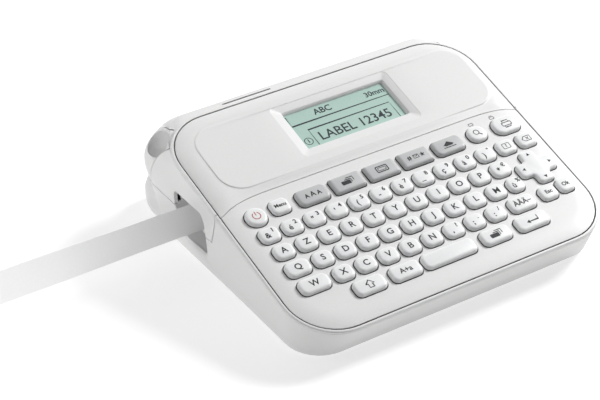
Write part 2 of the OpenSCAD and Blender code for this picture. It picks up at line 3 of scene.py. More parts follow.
import bmesh
import bpy
from mathutils import Matrix, Vector
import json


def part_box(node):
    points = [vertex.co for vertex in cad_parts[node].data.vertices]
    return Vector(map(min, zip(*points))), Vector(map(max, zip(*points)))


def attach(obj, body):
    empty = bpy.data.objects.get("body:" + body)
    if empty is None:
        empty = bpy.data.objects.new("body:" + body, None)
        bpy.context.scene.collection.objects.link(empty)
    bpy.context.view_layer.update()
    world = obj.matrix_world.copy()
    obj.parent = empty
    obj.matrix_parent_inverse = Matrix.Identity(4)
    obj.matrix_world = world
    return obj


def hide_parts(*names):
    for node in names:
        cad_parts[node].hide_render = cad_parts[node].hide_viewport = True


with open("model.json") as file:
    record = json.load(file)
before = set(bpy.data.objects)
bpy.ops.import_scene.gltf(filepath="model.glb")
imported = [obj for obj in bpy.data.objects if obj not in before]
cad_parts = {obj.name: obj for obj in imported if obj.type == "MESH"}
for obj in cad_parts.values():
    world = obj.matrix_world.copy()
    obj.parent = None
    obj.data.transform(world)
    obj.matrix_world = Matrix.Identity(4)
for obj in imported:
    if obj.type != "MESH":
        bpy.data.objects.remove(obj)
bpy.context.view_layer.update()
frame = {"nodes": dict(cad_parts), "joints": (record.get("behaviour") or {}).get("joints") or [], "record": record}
scene = bpy.context.scene

# All sizes below are in millimetres and turn into metres where a mesh is made.
MM = 0.001


def mm(vector):
    """A length or place of the frame, in millimetres."""
    return vector / MM


def lerp(a, b, t):
    """Value between a and b at the share t."""
    return a + (b - a) * t


def smooth(t):
    """Soft step from 0 to 1."""
    t = min(1.0, max(0.0, t))
    return t * t * (3 - 2 * t)


# ---------- Panel plane ----------
# The top panels lie on a sloping plane: x runs right, v up the slope, w out of it.

press_axis = next(j for j in frame["joints"] if j["name"] == "key_menu_press")["axis"]
TILT = math.atan2(press_axis[1], -press_axis[2])
COS, SIN = math.cos(TILT), math.sin(TILT)
case_points = [mm(v.co) for v in frame["nodes"]["base_case"].data.vertices]
PANEL_Z = max(p.z * COS - p.y * SIN for p in case_points) / COS


def panel_point(x, v, w):
    """Place in the frame of a point given in panel coordinates."""
    return Vector((x, v * COS - w * SIN, PANEL_Z + v * SIN + w * COS))


def in_panel(p):
    """Panel coordinates of a place in the frame."""
    z = p.z - PANEL_Z
    return p.x, p.y * COS + z * SIN, z * COS - p.y * SIN


def node_box(name):
    """Low and high corner of a CAD node, in millimetres."""
    low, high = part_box(name)
    return mm(low), mm(high)


# ---------- Sizes of the object ----------

case_low, case_high = node_box("base_case")
HALF_W = case_high.x
RIM_FRONT_V = case_low.y / COS
rear_points = [in_panel(mm(v.co)) for v in frame["nodes"]["rear_case"].data.vertices]
RIM_BACK_V = max(v for _, v, w in rear_points if w > -0.4)
WALL = 2.2
LIP = 1.5  # width of the case rim around the top panels
PANEL_GAP = 0.62
RIM_R = 27.5
SEAT_W = -2.2  # where the panels end below the rim
GROOVE_W = -5.0  # how deep the dark gap around them reaches
CROWN = 1.2  # height of the keyboard panel over the rim
PLATE_W = 2.4  # height of the raised plate
SHOULDER = 2.0  # height of the display panel beside the plate
ROLL = 10.5  # width of the rolled edge of the panels
KEY_HOLE = 0.5  # gap between a key and its hole
BASE_Z = 1.0


# ---------- Mesh tools ----------

def new_object(name, data):
    """Object in the scene for a mesh, text, lamp or camera."""
    obj = bpy.data.objects.new(name, data)
    scene.collection.objects.link(obj)
    return obj


def piece(name, vertices, faces):
    """Object made from places in millimetres and faces."""
    mesh = bpy.data.meshes.new(name)
    mesh.from_pydata([v * MM for v in vertices], [], faces)
    cleaner = bmesh.new()
    cleaner.from_mesh(mesh)
    bmesh.ops.remove_doubles(cleaner, verts=cleaner.verts, dist=0.000004)
    bmesh.ops.recalc_face_normals(cleaner, faces=cleaner.faces)
    cleaner.to_mesh(mesh)
    cleaner.free()
    return new_object(name, mesh)


def loft_faces(count, rings, closed):
    """Faces between rings of count points, with end caps unless the rings close on themselves."""
    faces = []
    for k in range(rings if closed else rings - 1):
        a, b = k * count, (k + 1) % rings * count
        for i in range(count):
            j = (i + 1) % count
            faces.append((a + i, a + j, b + j, b + i))
    if not closed:
        faces.append(tuple(reversed(range(count))))
        faces.append(tuple(range((rings - 1) * count, rings * count)))
    return faces


def loft(name, rings, closed=False):
    """Solid through rings that all have the same number of points."""
    vertices = [p for ring in rings for p in ring]
    return piece(name, vertices, loft_faces(len(rings[0]), len(rings), closed))


def carve(obj, operation, *tools):
    """Applies DIFFERENCE, UNION or INTERSECT with each tool, and removes the tools."""
    for tool in tools:
        change = obj.modifiers.new("carve", "BOOLEAN")
        change.operation = operation
        change.object = tool
        change.solver = "MANIFOLD"
        bpy.context.view_layer.update()
        graph = bpy.context.evaluated_depsgraph_get()
        result = bpy.data.meshes.new_from_object(obj.evaluated_get(graph))
        obj.modifiers.clear()
        obj.data = result
        bpy.data.objects.remove(tool)
    return obj


def copy_of(obj, name):
    """Loose copy of an object's mesh, so that the original stays as it is."""
    return new_object(name, obj.data.copy())


def welded_copy(node, name):
    """Copy of a CAD node's mesh with its split corners joined, so that it can be cut."""
    twin = copy_of(frame["nodes"][node], name)
    cleaner = bmesh.new()
    cleaner.from_mesh(twin.data)
    bmesh.ops.remove_doubles(cleaner, verts=cleaner.verts, dist=0.000001)
    cleaner.to_mesh(twin.data)
    cleaner.free()
    twin.data.materials.clear()
    return twin


def shade(obj, angle=32):
    """Smooth shading with creases where faces meet at more than the angle."""
    obj.data.shade_smooth()
    obj.data.set_sharp_from_angle(angle=math.radians(angle))
    return obj


def outline(x0, x1, y0, y1, radii, corner=10, side=24):
    """Rectangle with round corners, anticlockwise from its right front corner."""
    if not isinstance(radii, (tuple, list)):
        radii = (radii,) * 4
    centres = [(x1 - radii[0], y0 + radii[0]), (x1 - radii[1], y1 - radii[1]),
               (x0 + radii[2], y1 - radii[2]), (x0 + radii[3], y0 + radii[3])]
    arcs = []
    for k, (cx, cy) in enumerate(centres):
        angles = [math.radians(90 * (k - 1 + i / corner)) for i in range(corner + 1)]
        arcs.append([(cx + radii[k] * math.cos(a), cy + radii[k] * math.sin(a)) for a in angles])
    points = []
    for k in range(4):
        points += arcs[k]
        start, end = arcs[k][-1], arcs[(k + 1) % 4][0]
        points += [(lerp(start[0], end[0], i / side), lerp(start[1], end[1], i / side))
                   for i in range(1, side)]
    return points


def rounded_polygon(corners, steps=5):
    """Polygon whose corners (x, y, radius) are rounded; works for inner corners too."""
    points = []
    count = len(corners)
    for k, (x, y, radius) in enumerate(corners):
        here = Vector((x, y))
        before = (Vector(corners[k - 1][:2]) - here).normalized()
        after = (Vector(corners[(k + 1) % count][:2]) - here).normalized()
        half = before.angle(after) / 2
        reach = radius / math.tan(half)
        centre = here + (before + after).normalized() * radius / math.sin(half)
        first = here + before * reach - centre
        last = here + after * reach - centre
        turn = first.angle_signed(last)
        for i in range(steps + 1):
            points.append(tuple(centre + Matrix.Rotation(-turn * i / steps, 2) @ first))
    return points


def prism(name, polygon, place, low, high):
    """Solid between two heights of a flat polygon; place(a, b, height) gives each corner."""
    return loft(name, [[place(a, b, low) for a, b in polygon],
                       [place(a, b, high) for a, b in polygon]])


def box_distance(x, v, x0, x1, v0, v1, radius):
    """Signed distance to a round-cornered rectangle, negative inside."""
    dx = abs(x - (x0 + x1) / 2) - (x1 - x0) / 2 + radius
    dv = abs(v - (v0 + v1) / 2) - (v1 - v0) / 2 + radius
    return math.hypot(max(dx, 0), max(dv, 0)) + min(max(dx, dv), 0) - radius


# ---------- Materials ----------

def node_material(name, colour, roughness, grain=900, bump=0.04, tone=0.03, metallic=0.0):
    """Plastic, rubber or metal with a fine grain in its colour, gloss and surface."""
    material = bpy.data.materials.new(name)
    material.use_nodes = True
    nodes, links = material.node_tree.nodes, material.node_tree.links
    shader = nodes["Principled BSDF"]
    place = nodes.new("ShaderNodeTexCoord")
    noise = nodes.new("ShaderNodeTexNoise")
    noise.inputs["Scale"].default_value = grain
    noise.inputs["Detail"].default_value = 3
    links.new(place.outputs["Object"], noise.inputs["Vector"])
    tint = nodes.new("ShaderNodeValToRGB")
    tint.color_ramp.elements[0].position = 0.35
    tint.color_ramp.elements[0].color = tuple(c * (1 - tone) for c in colour) + (1,)
    tint.color_ramp.elements[1].position = 0.65
    tint.color_ramp.elements[1].color = tuple(min(1, c * (1 + tone)) for c in colour) + (1,)
    links.new(noise.outputs["Fac"], tint.inputs["Fac"])
    links.new(tint.outputs["Color"], shader.inputs["Base Color"])
    gloss = nodes.new("ShaderNodeMapRange")
    gloss.inputs["To Min"].default_value = max(0.02, roughness - 0.05)
    gloss.inputs["To Max"].default_value = min(1.0, roughness + 0.05)
    links.new(noise.outputs["Fac"], gloss.inputs["Value"])
    links.new(gloss.outputs["Result"], shader.inputs["Roughness"])
    relief = nodes.new("ShaderNodeBump")
    relief.inputs["Strength"].default_value = bump
    relief.inputs["Distance"].default_value = 0.0001
    links.new(noise.outputs["Fac"], relief.inputs["Height"])
    links.new(relief.outputs["Normal"], shader.inputs["Normal"])
    shader.inputs["Metallic"].default_value = metallic
    shader.inputs["Specular IOR Level"].default_value = 0.35
    return material


FINISHES = {
    "case_plastic": node_material("case_plastic", (0.72, 0.72, 0.717), 0.4, tone=0.01, bump=0.015),
    "key_plastic": node_material("key_plastic", (0.78, 0.785, 0.79), 0.36, tone=0.01, bump=0.015),
    "grey_key_plastic": node_material("grey_key_plastic", (0.49, 0.495, 0.5), 0.38, tone=0.01),
    "window": node_material("window", (0.41, 0.565, 0.51), 0.3, tone=0.015, bump=0.01),
    "lcd_glass": node_material("lcd_glass", (0.12, 0.13, 0.14), 0.3),
    "dark_plastic": node_material("dark_plastic", (0.035, 0.036, 0.04), 0.5),
    "gear_plastic": node_material("gear_plastic", (0.62, 0.62, 0.58), 0.45),
    "ribbon": node_material("ribbon", (0.02, 0.02, 0.022), 0.3),
    "cassette_plastic": node_material("cassette_plastic", (0.5, 0.52, 0.54), 0.35),
    "tape_film": node_material("tape_film", (0.98, 0.98, 0.98), 0.4, tone=0.01, bump=0.01),
    "roller_rubber": node_material("roller_rubber", (0.03, 0.03, 0.03), 0.8, bump=0.2),
    "membrane_rubber": node_material("membrane_rubber", (0.045, 0.047, 0.05), 0.75),
    "steel": node_material("steel", (0.55, 0.56, 0.57), 0.28, grain=2500, metallic=1.0),
    "head_metal": node_material("head_metal", (0.4, 0.41, 0.43), 0.35, metallic=1.0),
    "brass_pinion": node_material("brass_pinion", (0.72, 0.52, 0.22), 0.3, metallic=1.0),
    "circuit_board": node_material("circuit_board", (0.03, 0.17, 0.07), 0.45, tone=0.1),
    "cell_jacket": node_material("cell_jacket", (0.06, 0.07, 0.09), 0.32, tone=0.08),
}


def paint_shade_along_x(material, start_x, end_x, darker):
    """Paints shade into a material: darker by a share at start_x, fading to nothing at end_x."""
    nodes, links = material.node_tree.nodes, material.node_tree.links
    shader = nodes["Principled BSDF"]
    base = shader.inputs["Base Color"].links[0].from_socket
    place = nodes.new("ShaderNodeTexCoord")
    parts = nodes.new("ShaderNodeSeparateXYZ")
    links.new(place.outputs["Object"], parts.inputs["Vector"])
    share = nodes.new("ShaderNodeMapRange")
    share.inputs["From Min"].default_value = start_x * MM
    share.inputs["From Max"].default_value = end_x * MM
    share.inputs["To Min"].default_value = 1 - darker
    share.inputs["To Max"].default_value = 1.0
    links.new(parts.outputs["X"], share.inputs["Value"])
    mix = nodes.new("ShaderNodeVectorMath")
    mix.operation = "SCALE"
    links.new(base, mix.inputs["Vector"])
    links.new(share.outputs["Result"], mix.inputs["Scale"])
    links.new(mix.outputs["Vector"], shader.inputs["Base Color"])


# Painted shade: the tape is darker where it leaves the machine and fades to its own white towards the free end.
paint_shade_along_x(FINISHES["tape_film"], -96.0, -165.0, 0.22)
INK = node_material("legend_ink", (0.012, 0.013, 0.016), 0.6, tone=0.1)
RED_INK = node_material("red_ink", (0.42, 0.1, 0.08), 0.6, tone=0.1)
LCD_INK = node_material("lcd_ink", (0.015, 0.025, 0.03), 0.5, tone=0.1)
SLOT_OF = {slot["slot"]: slot.get("nodes", []) for slot in frame["record"]["materials"]}

for slot_name, members in SLOT_OF.items():
    for member in members:
        cad_mesh = frame["nodes"][member].data
        cad_mesh.materials.clear()
        cad_mesh.materials.append(FINISHES[slot_name])


def finish_piece(obj, body, finish, *hidden_nodes):
    """Gives a piece its material, the body it moves with and the CAD nodes it stands for."""
    obj.data.materials.clear()
    obj.data.materials.append(finish if not isinstance(finish, str) else FINISHES[finish])
    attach(obj, body)
    for node in hidden_nodes:
        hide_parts(node)
    return obj


# ---------- Case shells ----------
# Levels of the outer form, from the base up: front y, back y, front z, back z,
# half width at the front and at the back, corner radius at the front and at the back.
LEVELS = [
    (-79.8, 66.0, 1.0, 1.0, 90.7, 90.7, 19.0, 19.0),
    (-82.0, 80.0, 5.6, 24.5, 91.5, 92.2, 20.5, 20.0),
    (-84.4, 84.0, 10.2, 38.0, 92.3, 92.8, 22.5, 18.0),
    (-86.6, 76.0, 14.5, 52.0, 93.1, 88.0, 24.5, 17.0),
    (-88.2, 66.3, 17.4, 59.6, 93.8, 79.0, 26.5, 9.0),
]
LEDGE_EDGE = (-88.3, 65.3, 17.7, 60.25, 93.85, 78.4, 26.6, 8.5)
TAPER_Y = 20.0
BULGE_LEVELS = [(1.0, 87.5, 86.5, 17.0), (2.4, 88.6, 87.5, 17.0), (5.0, 89.6, 88.4, 17.3),
                (9.0, 90.2, 89.0, 17.5), (14.0, 90.2, 89.0, 17.5), (17.5, 89.4, 88.2, 17.5),
                (20.6, 87.8, 86.6, 17.5), (22.8, 85.6, 84.6, 17.5), (23.9, 83.6, 82.6, 17.5)]
BULGE_FRONT_Y = 34.0


def level_ring(level, inset):
    """Ring of the case at one level; it slopes from front to back and narrows behind."""
    y0, y1, z0, z1, half0, half1, r0, r1 = level
    ring = outline(-half0 + inset, half0 - inset, y0 + inset, y1 - inset,
                   [max(1.0, r - inset) for r in (r0, r1, r1, r0)])
    points = []
    for x, y in ring:
        back = max(0.0, (y - TAPER_Y) / (y1 - TAPER_Y))
        width = 1 + (half1 - half0) / half0 * back ** 3
        points.append(Vector((x * width, y, lerp(z0, z1, (y - y0) / (y1 - y0)))))
    return points


def between_levels(k, t):
    """Level between k and k + 1 on a smooth curve through all levels."""
    a = LEVELS[max(0, k - 1)]
    b, c = LEVELS[k], LEVELS[k + 1]
    d = LEVELS[min(len(LEVELS) - 1, k + 2)]
    return tuple(0.5 * (2 * q + (r - p) * t + (2 * p - 5 * q + 4 * r - s) * t * t
                        + (3 * q - p - 3 * r + s) * t ** 3)
                 for p, q, r, s in zip(a, b, c, d))


def rim_ring(inset, w):
    """Ring along the rim at a height over it."""
    return [panel_point(x, v, w)
            for x, v in outline(-HALF_W + inset, HALF_W - inset, RIM_FRONT_V + inset,
                                RIM_BACK_V - inset, RIM_R - inset)]


def main_form(name, inset, foot_z, foot_inset, top_rings, steps=5):
    """Closed outer form of the case, or its hollow when inset is the wall."""
    foot = LEVELS[0][:2] + (foot_z, foot_z) + LEVELS[0][4:]
    rings = [level_ring(foot, inset + foot_inset)]
    for k in range(len(LEVELS) - 1):
        first = 1 if k == 0 and foot_inset > 0 else 0
        rings += [level_ring(between_levels(k, i / steps), inset) for i in range(first, steps)]
    rings += [level_ring(LEVELS[-1], inset), level_ring(LEDGE_EDGE, inset)]
    return loft(name, rings + top_rings)


def bulge_form(name, inset, foot_z):
    """Closed form of the battery bulge at the back, or its hollow."""
    rings = []
    for z, half, y1, radius in BULGE_LEVELS:
        height = foot_z if z == BASE_Z else min(z, 23.9 - inset * 1.1)
        rings.append([Vector((x, y, height)) for x, y in
                      outline(-half + inset, half - inset, BULGE_FRONT_Y, y1 - inset,
                              (2.0, radius - inset, radius - inset, 2.0))])
    return loft(name, rings)


OUTER_TOP = [rim_ring(0.05, -1.75), rim_ring(0.28, -1.5), rim_ring(0.28, -1.25),
             rim_ring(0.02, -1.1), rim_ring(0.02, -0.6), rim_ring(0.25, -0.22),
             rim_ring(0.6, -0.05), rim_ring(1.0, 0.0)]
INNER_TOP = [rim_ring(WALL, -2.6), rim_ring(WALL, 2.0)]


def across(y, z, x):
    """Place from a side view; the height of a prism then runs along x."""
    return Vector((x, y, z))



# The rear shell is everything behind this line and above the base
REAR_LINE_LEFT = [(-2.6, 90), (-2.6, 41.4), (3.9, 23.7), (10.2, 22.9), (12, 25.5), (100, 25.5),
                  (100, 90)]
REAR_LINE_RIGHT = [(-2.6, 90), (-2.6, 25.5), (100, 25.5), (100, 90)]
SEAM = 0.48


def rear_zone(name, gap):
    """Cutter for the rear shell; the gap leaves its seam open."""
    def shifted(line):
        return [(y + gap if y < 10 else y, z + gap if z < 60 else z) for y, z in line]
    left = prism(name, shifted(REAR_LINE_LEFT), across, -100, 0)
    right = prism(name + "_right", shifted(REAR_LINE_RIGHT), across, -0.5, 101)
    return carve(left, "UNION", right)


EXIT_EDGE = [(11.2, 12.9, 0.8), (13, 11.3, 1.0), (31.5, 10.4, 2.5), (38.5, 20, 3.0),
             (41.4, 26.2, 1.0), (41.4, 32, 1.0), (39.2, 35.2, 1.5), (14.8, 35.6, 1.2),
             (13.2, 34.3, 0.8), (11.7, 31.5, 1.5), (11.4, 22, 3.0)]
exit_outline = rounded_polygon(EXIT_EDGE)
exit_middle = (sum(y for y, _ in exit_outline) / len(exit_outline),
               sum(z for _, z in exit_outline) / len(exit_outline))


def grown_exit(amount):
    """Exit outline moved out from its middle by an amount."""
    points = []
    for y, z in exit_outline:
        out = Vector((y - exit_middle[0], z - exit_middle[1]))
        out = out + out.normalized() * amount
        points.append((exit_middle[0] + out.x, exit_middle[1] + out.y))
    return points


def exit_cutter(name):
    """Cutter for the tape exit, with a chamfered mouth that follows the leaning side wall."""
    return loft(name, [[across(y, z, depth - 91.1 - 0.08 * (z - 12)) for y, z in grown_exit(grow)]
                       for depth, grow in ((-2.0, 3.9), (0.0, 0.9), (0.6, 0.0), (7.0, 0.0))])


DIAGONAL = Matrix.Rotation(math.radians(45), 3, "Z")


def lever_window(name, grow):
    """Cutter for the corner that the lever fills, seen along the corner's diagonal."""
    def place(a, z, depth):
        return DIAGONAL @ Vector((a, depth, z))
    corner = [(-36 - grow, 66 + grow), (-21 + grow / 2, 59.7 + grow), (-12.5 + grow / 2, 56.2 + grow),
              (-6 + grow / 2, 52.6 + grow), (8 + grow, 43 + grow), (8 + grow, 27 - grow),
              (-36 - grow, 27 - grow)]
    radius = 60 - grow
    disc = [(-78.3 + radius * math.cos(a), 20 + radius * math.sin(a))
            for a in (math.radians(2 * i) for i in range(180))]
    return carve(prism(name, corner, place, 45, 120), "DIFFERENCE",
                 prism(name + "_arc", disc, place, 40, 125))


def box_solid(name, low, high):
    """Upright box between two corners."""
    return prism(name, [(low[0], low[1]), (high[0], low[1]), (high[0], high[1]),
                        (low[0], high[1])], lambda x, y, z: Vector((x, y, z)), low[2], high[2])


def above_rim(name, w):
    """Everything higher than w over the rim plane."""
    return prism(name, [(-130, -130), (130, -130), (130, 130), (-130, 130)], panel_point, w, 90)


shell = main_form("shell", 0, BASE_Z, 1.0, OUTER_TOP)
carve(shell, "UNION", bulge_form("bulge", 0, BASE_Z))
carve(shell, "DIFFERENCE", main_form("hollow", WALL, -3, 0, INNER_TOP),
      bulge_form("bulge_hollow", WALL, -3),
      prism("seat", outline(-HALF_W + LIP, HALF_W - LIP, RIM_FRONT_V + LIP, RIM_BACK_V - LIP,
                            RIM_R - LIP), panel_point, GROOVE_W, 5),
      exit_cutter("exit"))

rear_shell = copy_of(shell, "rear_shell")
carve(rear_shell, "INTERSECT", rear_zone("rear_part", SEAM))
window = lever_window("window", 0.5)
carve(window, "DIFFERENCE", above_rim("over_window", -2.3))
slot_low, slot_high = (-49.5, 62.2, 50), (-20, 63.2, 70)
carve(rear_shell, "DIFFERENCE", window, box_solid("ledge_slot", slot_low, slot_high))

# The base takes its floor, bosses and battery bay from the CAD part
base_shell = shell
base_shell.name = "base_shell"
carve(base_shell, "DIFFERENCE", rear_zone("rear_part", 0))
inside = welded_copy("base_case", "inside")
room = main_form("room", WALL - 0.15, -3, 0, [rim_ring(WALL - 0.1, -6)])
carve(room, "UNION", bulge_form("bulge_room", WALL - 0.15, -3))
carve(inside, "INTERSECT", room)
carve(base_shell, "UNION", inside)
jack_low, jack_high = node_box("power_jack")
jack = (jack_low + jack_high) / 2
port_low, port_high = node_box("usb_port")
jack_hole = [(jack.y + 4 * math.cos(a), jack.z + 4 * math.sin(a))
             for a in (math.radians(7.5 * i) for i in range(48))]
port_hole = [(port_low.y - 0.5, port_low.z - 0.1), (port_high.y + 0.5, port_low.z - 0.1),
             (port_high.y + 0.5, port_high.z + 0.4), (port_low.y - 0.5, port_high.z + 0.4)]
carve(base_shell, "DIFFERENCE", prism("jack_hole", jack_hole, across, 86, 100),
      prism("port_hole", port_hole, across, 86, 100))

# The cutter lever fills the rear left corner and has a scoop for the thumb
SCOOP_LONG, SCOOP_WIDE, SCOOP_DEEP = 13.0, 7.2, 6.5


def scoop_form(name, grow, rings=28, sides=56):
    """Oval form of the thumb scoop, lying along the lever under the rim."""
    middle_point = DIAGONAL @ Vector((-18, 106, 49.3))
    along = DIAGONAL @ Vector((0.692, 0.519, -0.502))
    out = DIAGONAL @ Vector((-0.205, 0.807, 0.553))
    sideways = along.cross(out)
    rows = []
    for k in range(1, rings):
        a = math.pi * k / rings
        rows.append([middle_point - (SCOOP_LONG + grow) * math.cos(a) * along
                     + (SCOOP_WIDE + grow) * math.sin(a) * math.cos(b) * sideways
                     + (SCOOP_DEEP + grow) * math.sin(a) * math.sin(b) * out
                     for b in (2 * math.pi * i / sides for i in range(sides))])
    return loft(name, rows)


lever = main_form("lever", 0, BASE_Z, 1.0, OUTER_TOP)
carve(lever, "INTERSECT", lever_window("lever_area", 0))
carve(lever, "DIFFERENCE", above_rim("over_lever", -2.75))
cup = copy_of(lever, "cup")
carve(cup, "INTERSECT", scoop_form("cup_form", 1.6))
carve(lever, "DIFFERENCE", main_form("lever_hollow", 4.4, -3, 0, [rim_ring(4.4, -4), rim_ring(4.4, 2)]))
carve(lever, "UNION", cup)
carve(lever, "DIFFERENCE", scoop_form("scoop", 0))
arms = welded_copy("cutter_lever", "arms")
carve(arms, "INTERSECT", main_form("arm_room", 4.2, -3, 0, [rim_ring(4.2, -4)]))
carve(arms, "DIFFERENCE", scoop_form("arm_scoop", 0.8))
carve(lever, "UNION", arms)

shade(base_shell)
FACING_DOWN = -0.99
for face in base_shell.data.polygons:  # the flat underside keeps flat shading
    if face.normal.z < FACING_DOWN:
        face.use_smooth = False
finish_piece(base_shell, "case", "case_plastic", "base_case")
finish_piece(shade(rear_shell), "case", "case_plastic", "rear_case")
finish_piece(shade(lever), "cutter_lever", "case_plastic", "cutter_lever")

# ---------- Top panels ----------

PANEL_HALF = HALF_W - LIP - PANEL_GAP
PANEL_FRONT = RIM_FRONT_V + LIP + PANEL_GAP
PANEL_BACK = RIM_BACK_V - LIP - PANEL_GAP
PANEL_R = RIM_R - LIP - PANEL_GAP
lcd_points = [in_panel(mm(v.co)) for v in frame["nodes"]["lcd_window"].data.vertices]
LCD_X0, LCD_X1 = min(p[0] for p in lcd_points), max(p[0] for p in lcd_points)
LCD_V0, LCD_V1 = min(p[1] for p in lcd_points), max(p[1] for p in lcd_points)
LCD_W = max(p[2] for p in lcd_points)
PLATE = (-81.3, 86.7, 4.8, 49.6)
PLATE_R = 13.0


def seam_v(x):
    """Where the seam between the two panels runs; its ends bend forward."""
    drop = 4.7 if x > 0 else 6.1
    return 0.2 - drop * (max(0.0, abs(x) - 62) / 31) ** 2.6


def top_height(x, v):
    """Height of the top over the rim: crowned, rolled down to the rim, raised at the plate."""
    to_rim = -box_distance(x, v, -PANEL_HALF, PANEL_HALF, PANEL_FRONT, PANEL_BACK, PANEL_R)
    behind_seam = v - seam_v(x)
    middle = 1 - smooth((abs(x) - 40) / 38)
    top = CROWN + (lerp(SHOULDER, PLATE_W, middle) - CROWN) * smooth(behind_seam / 6)
    top *= 1 - (1 - min(1.0, max(0.0, to_rim / ROLL))) ** 2.1
    in_plate = smooth(-box_distance(x, v, *PLATE, PLATE_R) / 0.7)
    return lerp(top, PLATE_W, in_plate)


def panel_ring(points, height):
    """Ring of a panel; height(x, v) gives how far it stands over the rim."""
    return [panel_point(x, v, height(x, v)) for x, v in points]


def blended(a, b, t):
    """Ring between two rings of points at the share t."""
    return [(lerp(p[0], q[0], t), lerp(p[1], q[1], t)) for p, q in zip(a, b)]


def display_edge(inset):
    """Outline of the display panel, with its front side on the seam."""
    low = inset + 0.12
    points = outline(-PANEL_HALF + inset, PANEL_HALF - inset, low, PANEL_BACK - inset,
                     (0.6, PANEL_R - inset, PANEL_R - inset, 0.6), side=36)
    return [(x, v + seam_v(x) * max(0.0, 1 - v / 34)) for x, v in points]


def keyboard_edge(inset):
    """Outline of the keyboard panel, with its back side on the seam."""
    high = -inset - 0.12
    points = outline(-PANEL_HALF + inset, PANEL_HALF - inset, PANEL_FRONT + inset, high,
                     (PANEL_R - inset, 0.6, 0.6, PANEL_R - inset), side=36)
    return [(x, v + seam_v(x) * max(0.0, 1 + v / 40)) for x, v in points]


def lcd_ring(grow, radius):
    """Outline of the display window, grown by an amount."""
    return outline(LCD_X0 - grow, LCD_X1 + grow, LCD_V0 - grow, LCD_V1 + grow, radius, side=36)


def plate_ring(inset):
    """Outline of the raised plate."""
    return outline(PLATE[0] + inset, PLATE[1] - inset, PLATE[2] + inset, PLATE[3] - inset,
                   PLATE_R - inset, side=36)


# The frame around the display: wall, level frame, small step up to the plate
FRAME_STEPS = [(-0.4, 0.5, -1.0), (-0.4, 0.5, LCD_W + 0.1), (0.1, 0.6, 1.2), (0.55, 0.8, 1.75),
               (0.95, 1.0, 2.0), (5.0, 2.4, 2.2), (5.1, 2.5, 2.24), (5.3, 2.7, PLATE_W - 0.03),
               (5.6, 2.9, PLATE_W)]
display_rings = [panel_ring(lcd_ring(grow, radius), lambda x, v, w=w: w)
                 for grow, radius, w in FRAME_STEPS]
frame_edge = lcd_ring(5.6, 2.9)
for t in (0.3, 0.65):
    display_rings.append(panel_ring(blended(frame_edge, plate_ring(2.0), t), top_height))
for inset in (2.0, 1.2, 0.7, 0.58, 0.46, 0.35, 0.24, 0.12, 0.0):
    display_rings.append(panel_ring(plate_ring(inset), top_height))
for t in (0.08, 0.2, 0.32, 0.44, 0.56, 0.66, 0.75, 0.83, 0.9, 0.95):
    display_rings.append(panel_ring(blended(plate_ring(0.0), display_edge(0.15), t), top_height))
display_rings += [panel_ring(display_edge(0.2), top_height),
                  panel_ring(display_edge(0.0), lambda x, v: top_height(x, v) - 0.22),
                  panel_ring(display_edge(0.0), lambda x, v: SEAT_W + 0.15),
                  panel_ring(display_edge(2.0), lambda x, v: SEAT_W + 0.15),
                  panel_ring(display_edge(2.6), lambda x, v: -1.0)]
display_panel = loft("display_cover", display_rings, closed=True)

keyboard_rings = [panel_ring(keyboard_edge(2.6), lambda x, v: -1.0),
                  panel_ring(keyboard_edge(2.0), lambda x, v: SEAT_W + 0.15),
                  panel_ring(keyboard_edge(0.0), lambda x, v: SEAT_W + 0.15),
                  panel_ring(keyboard_edge(0.0), lambda x, v: top_height(x, v) - 0.22)]
for inset in (0.2, 0.7, 1.3, 2.0, 2.8, 3.7, 4.7, 5.8, 7.0, 8.2, 9.4, 10.8):
    keyboard_rings.append(panel_ring(keyboard_edge(inset), top_height))
keyboard_panel = loft("keyboard_cover", keyboard_rings)


# Reach and top of the painted gap shade on the panel sides
SIDE_REACH, SIDE_TOP_W = 0.08, -0.1


def paint_panel_gap_shade(panel):
    """The side of a panel, down in the gap, gets dark rubber as painted shade for the gap."""
    panel.data.materials.append(FINISHES["membrane_rubber"])
    for face in panel.data.polygons:
        x, v, w = in_panel(mm(face.center))
        edge = box_distance(x, v, -PANEL_HALF, PANEL_HALF, PANEL_FRONT, PANEL_BACK, PANEL_R)
        if abs(edge) < SIDE_REACH and w < SIDE_TOP_W:
            face.material_index = 1

# ---------- Keys ----------

SHANK_W = 0.5
# Below this height a key cap is dark rubber: painted shade for the gap around the key.
GAP_SHADE_TOP_W = 1.1
KEY_STEPS = [(0.0, -2.6), (0.0, GAP_SHADE_TOP_W), (0.0, 1.6), (-0.12, 2.3), (-0.24, 2.62), (-0.5, 2.9),
             (-0.85, 3.1), (-1.2, 3.22), (-1.5, 3.27), (-1.7, 3.3)]
KEY_TOP = KEY_STEPS[-1][1]
HOLE_STEPS = [(KEY_HOLE, -9), (KEY_HOLE, 1.0), (KEY_HOLE + 0.2, CROWN + 0.02), (KEY_HOLE + 0.2, 4)]


def separate_parts(node):
    """Points of each loose part of a CAD node, in panel coordinates."""
    twin = welded_copy(node, "twin")
    mesh = bmesh.new()
    mesh.from_mesh(twin.data)
    bpy.data.objects.remove(twin)
    waiting = set(mesh.verts)
    parts = []
    while waiting:
        reached, part = [waiting.pop()], []
        while reached:
            vertex = reached.pop()
            part.append(in_panel(mm(vertex.co)))
            for edge in vertex.link_edges:
                other = edge.other_vert(vertex)
                if other in waiting:
                    waiting.remove(other)
                    reached.append(other)
        parts.append(part)
    mesh.free()
    return parts


def key_places(node):
    """Outlines of the keys of a node: low x, high x, low v, high v, corner radius."""
    places = []
    for part in separate_parts(node):
        shank = [p for p in part if p[2] > SHANK_W]
        x0, x1 = min(p[0] for p in shank), max(p[0] for p in shank)
        v0, v1 = min(p[1] for p in shank), max(p[1] for p in shank)
        edge = max(p[0] for p in shank if p[1] > v1 - 0.02)
        places.append((x0, x1, v0, v1, max(0.8, x1 - edge)))
    return sorted(places)


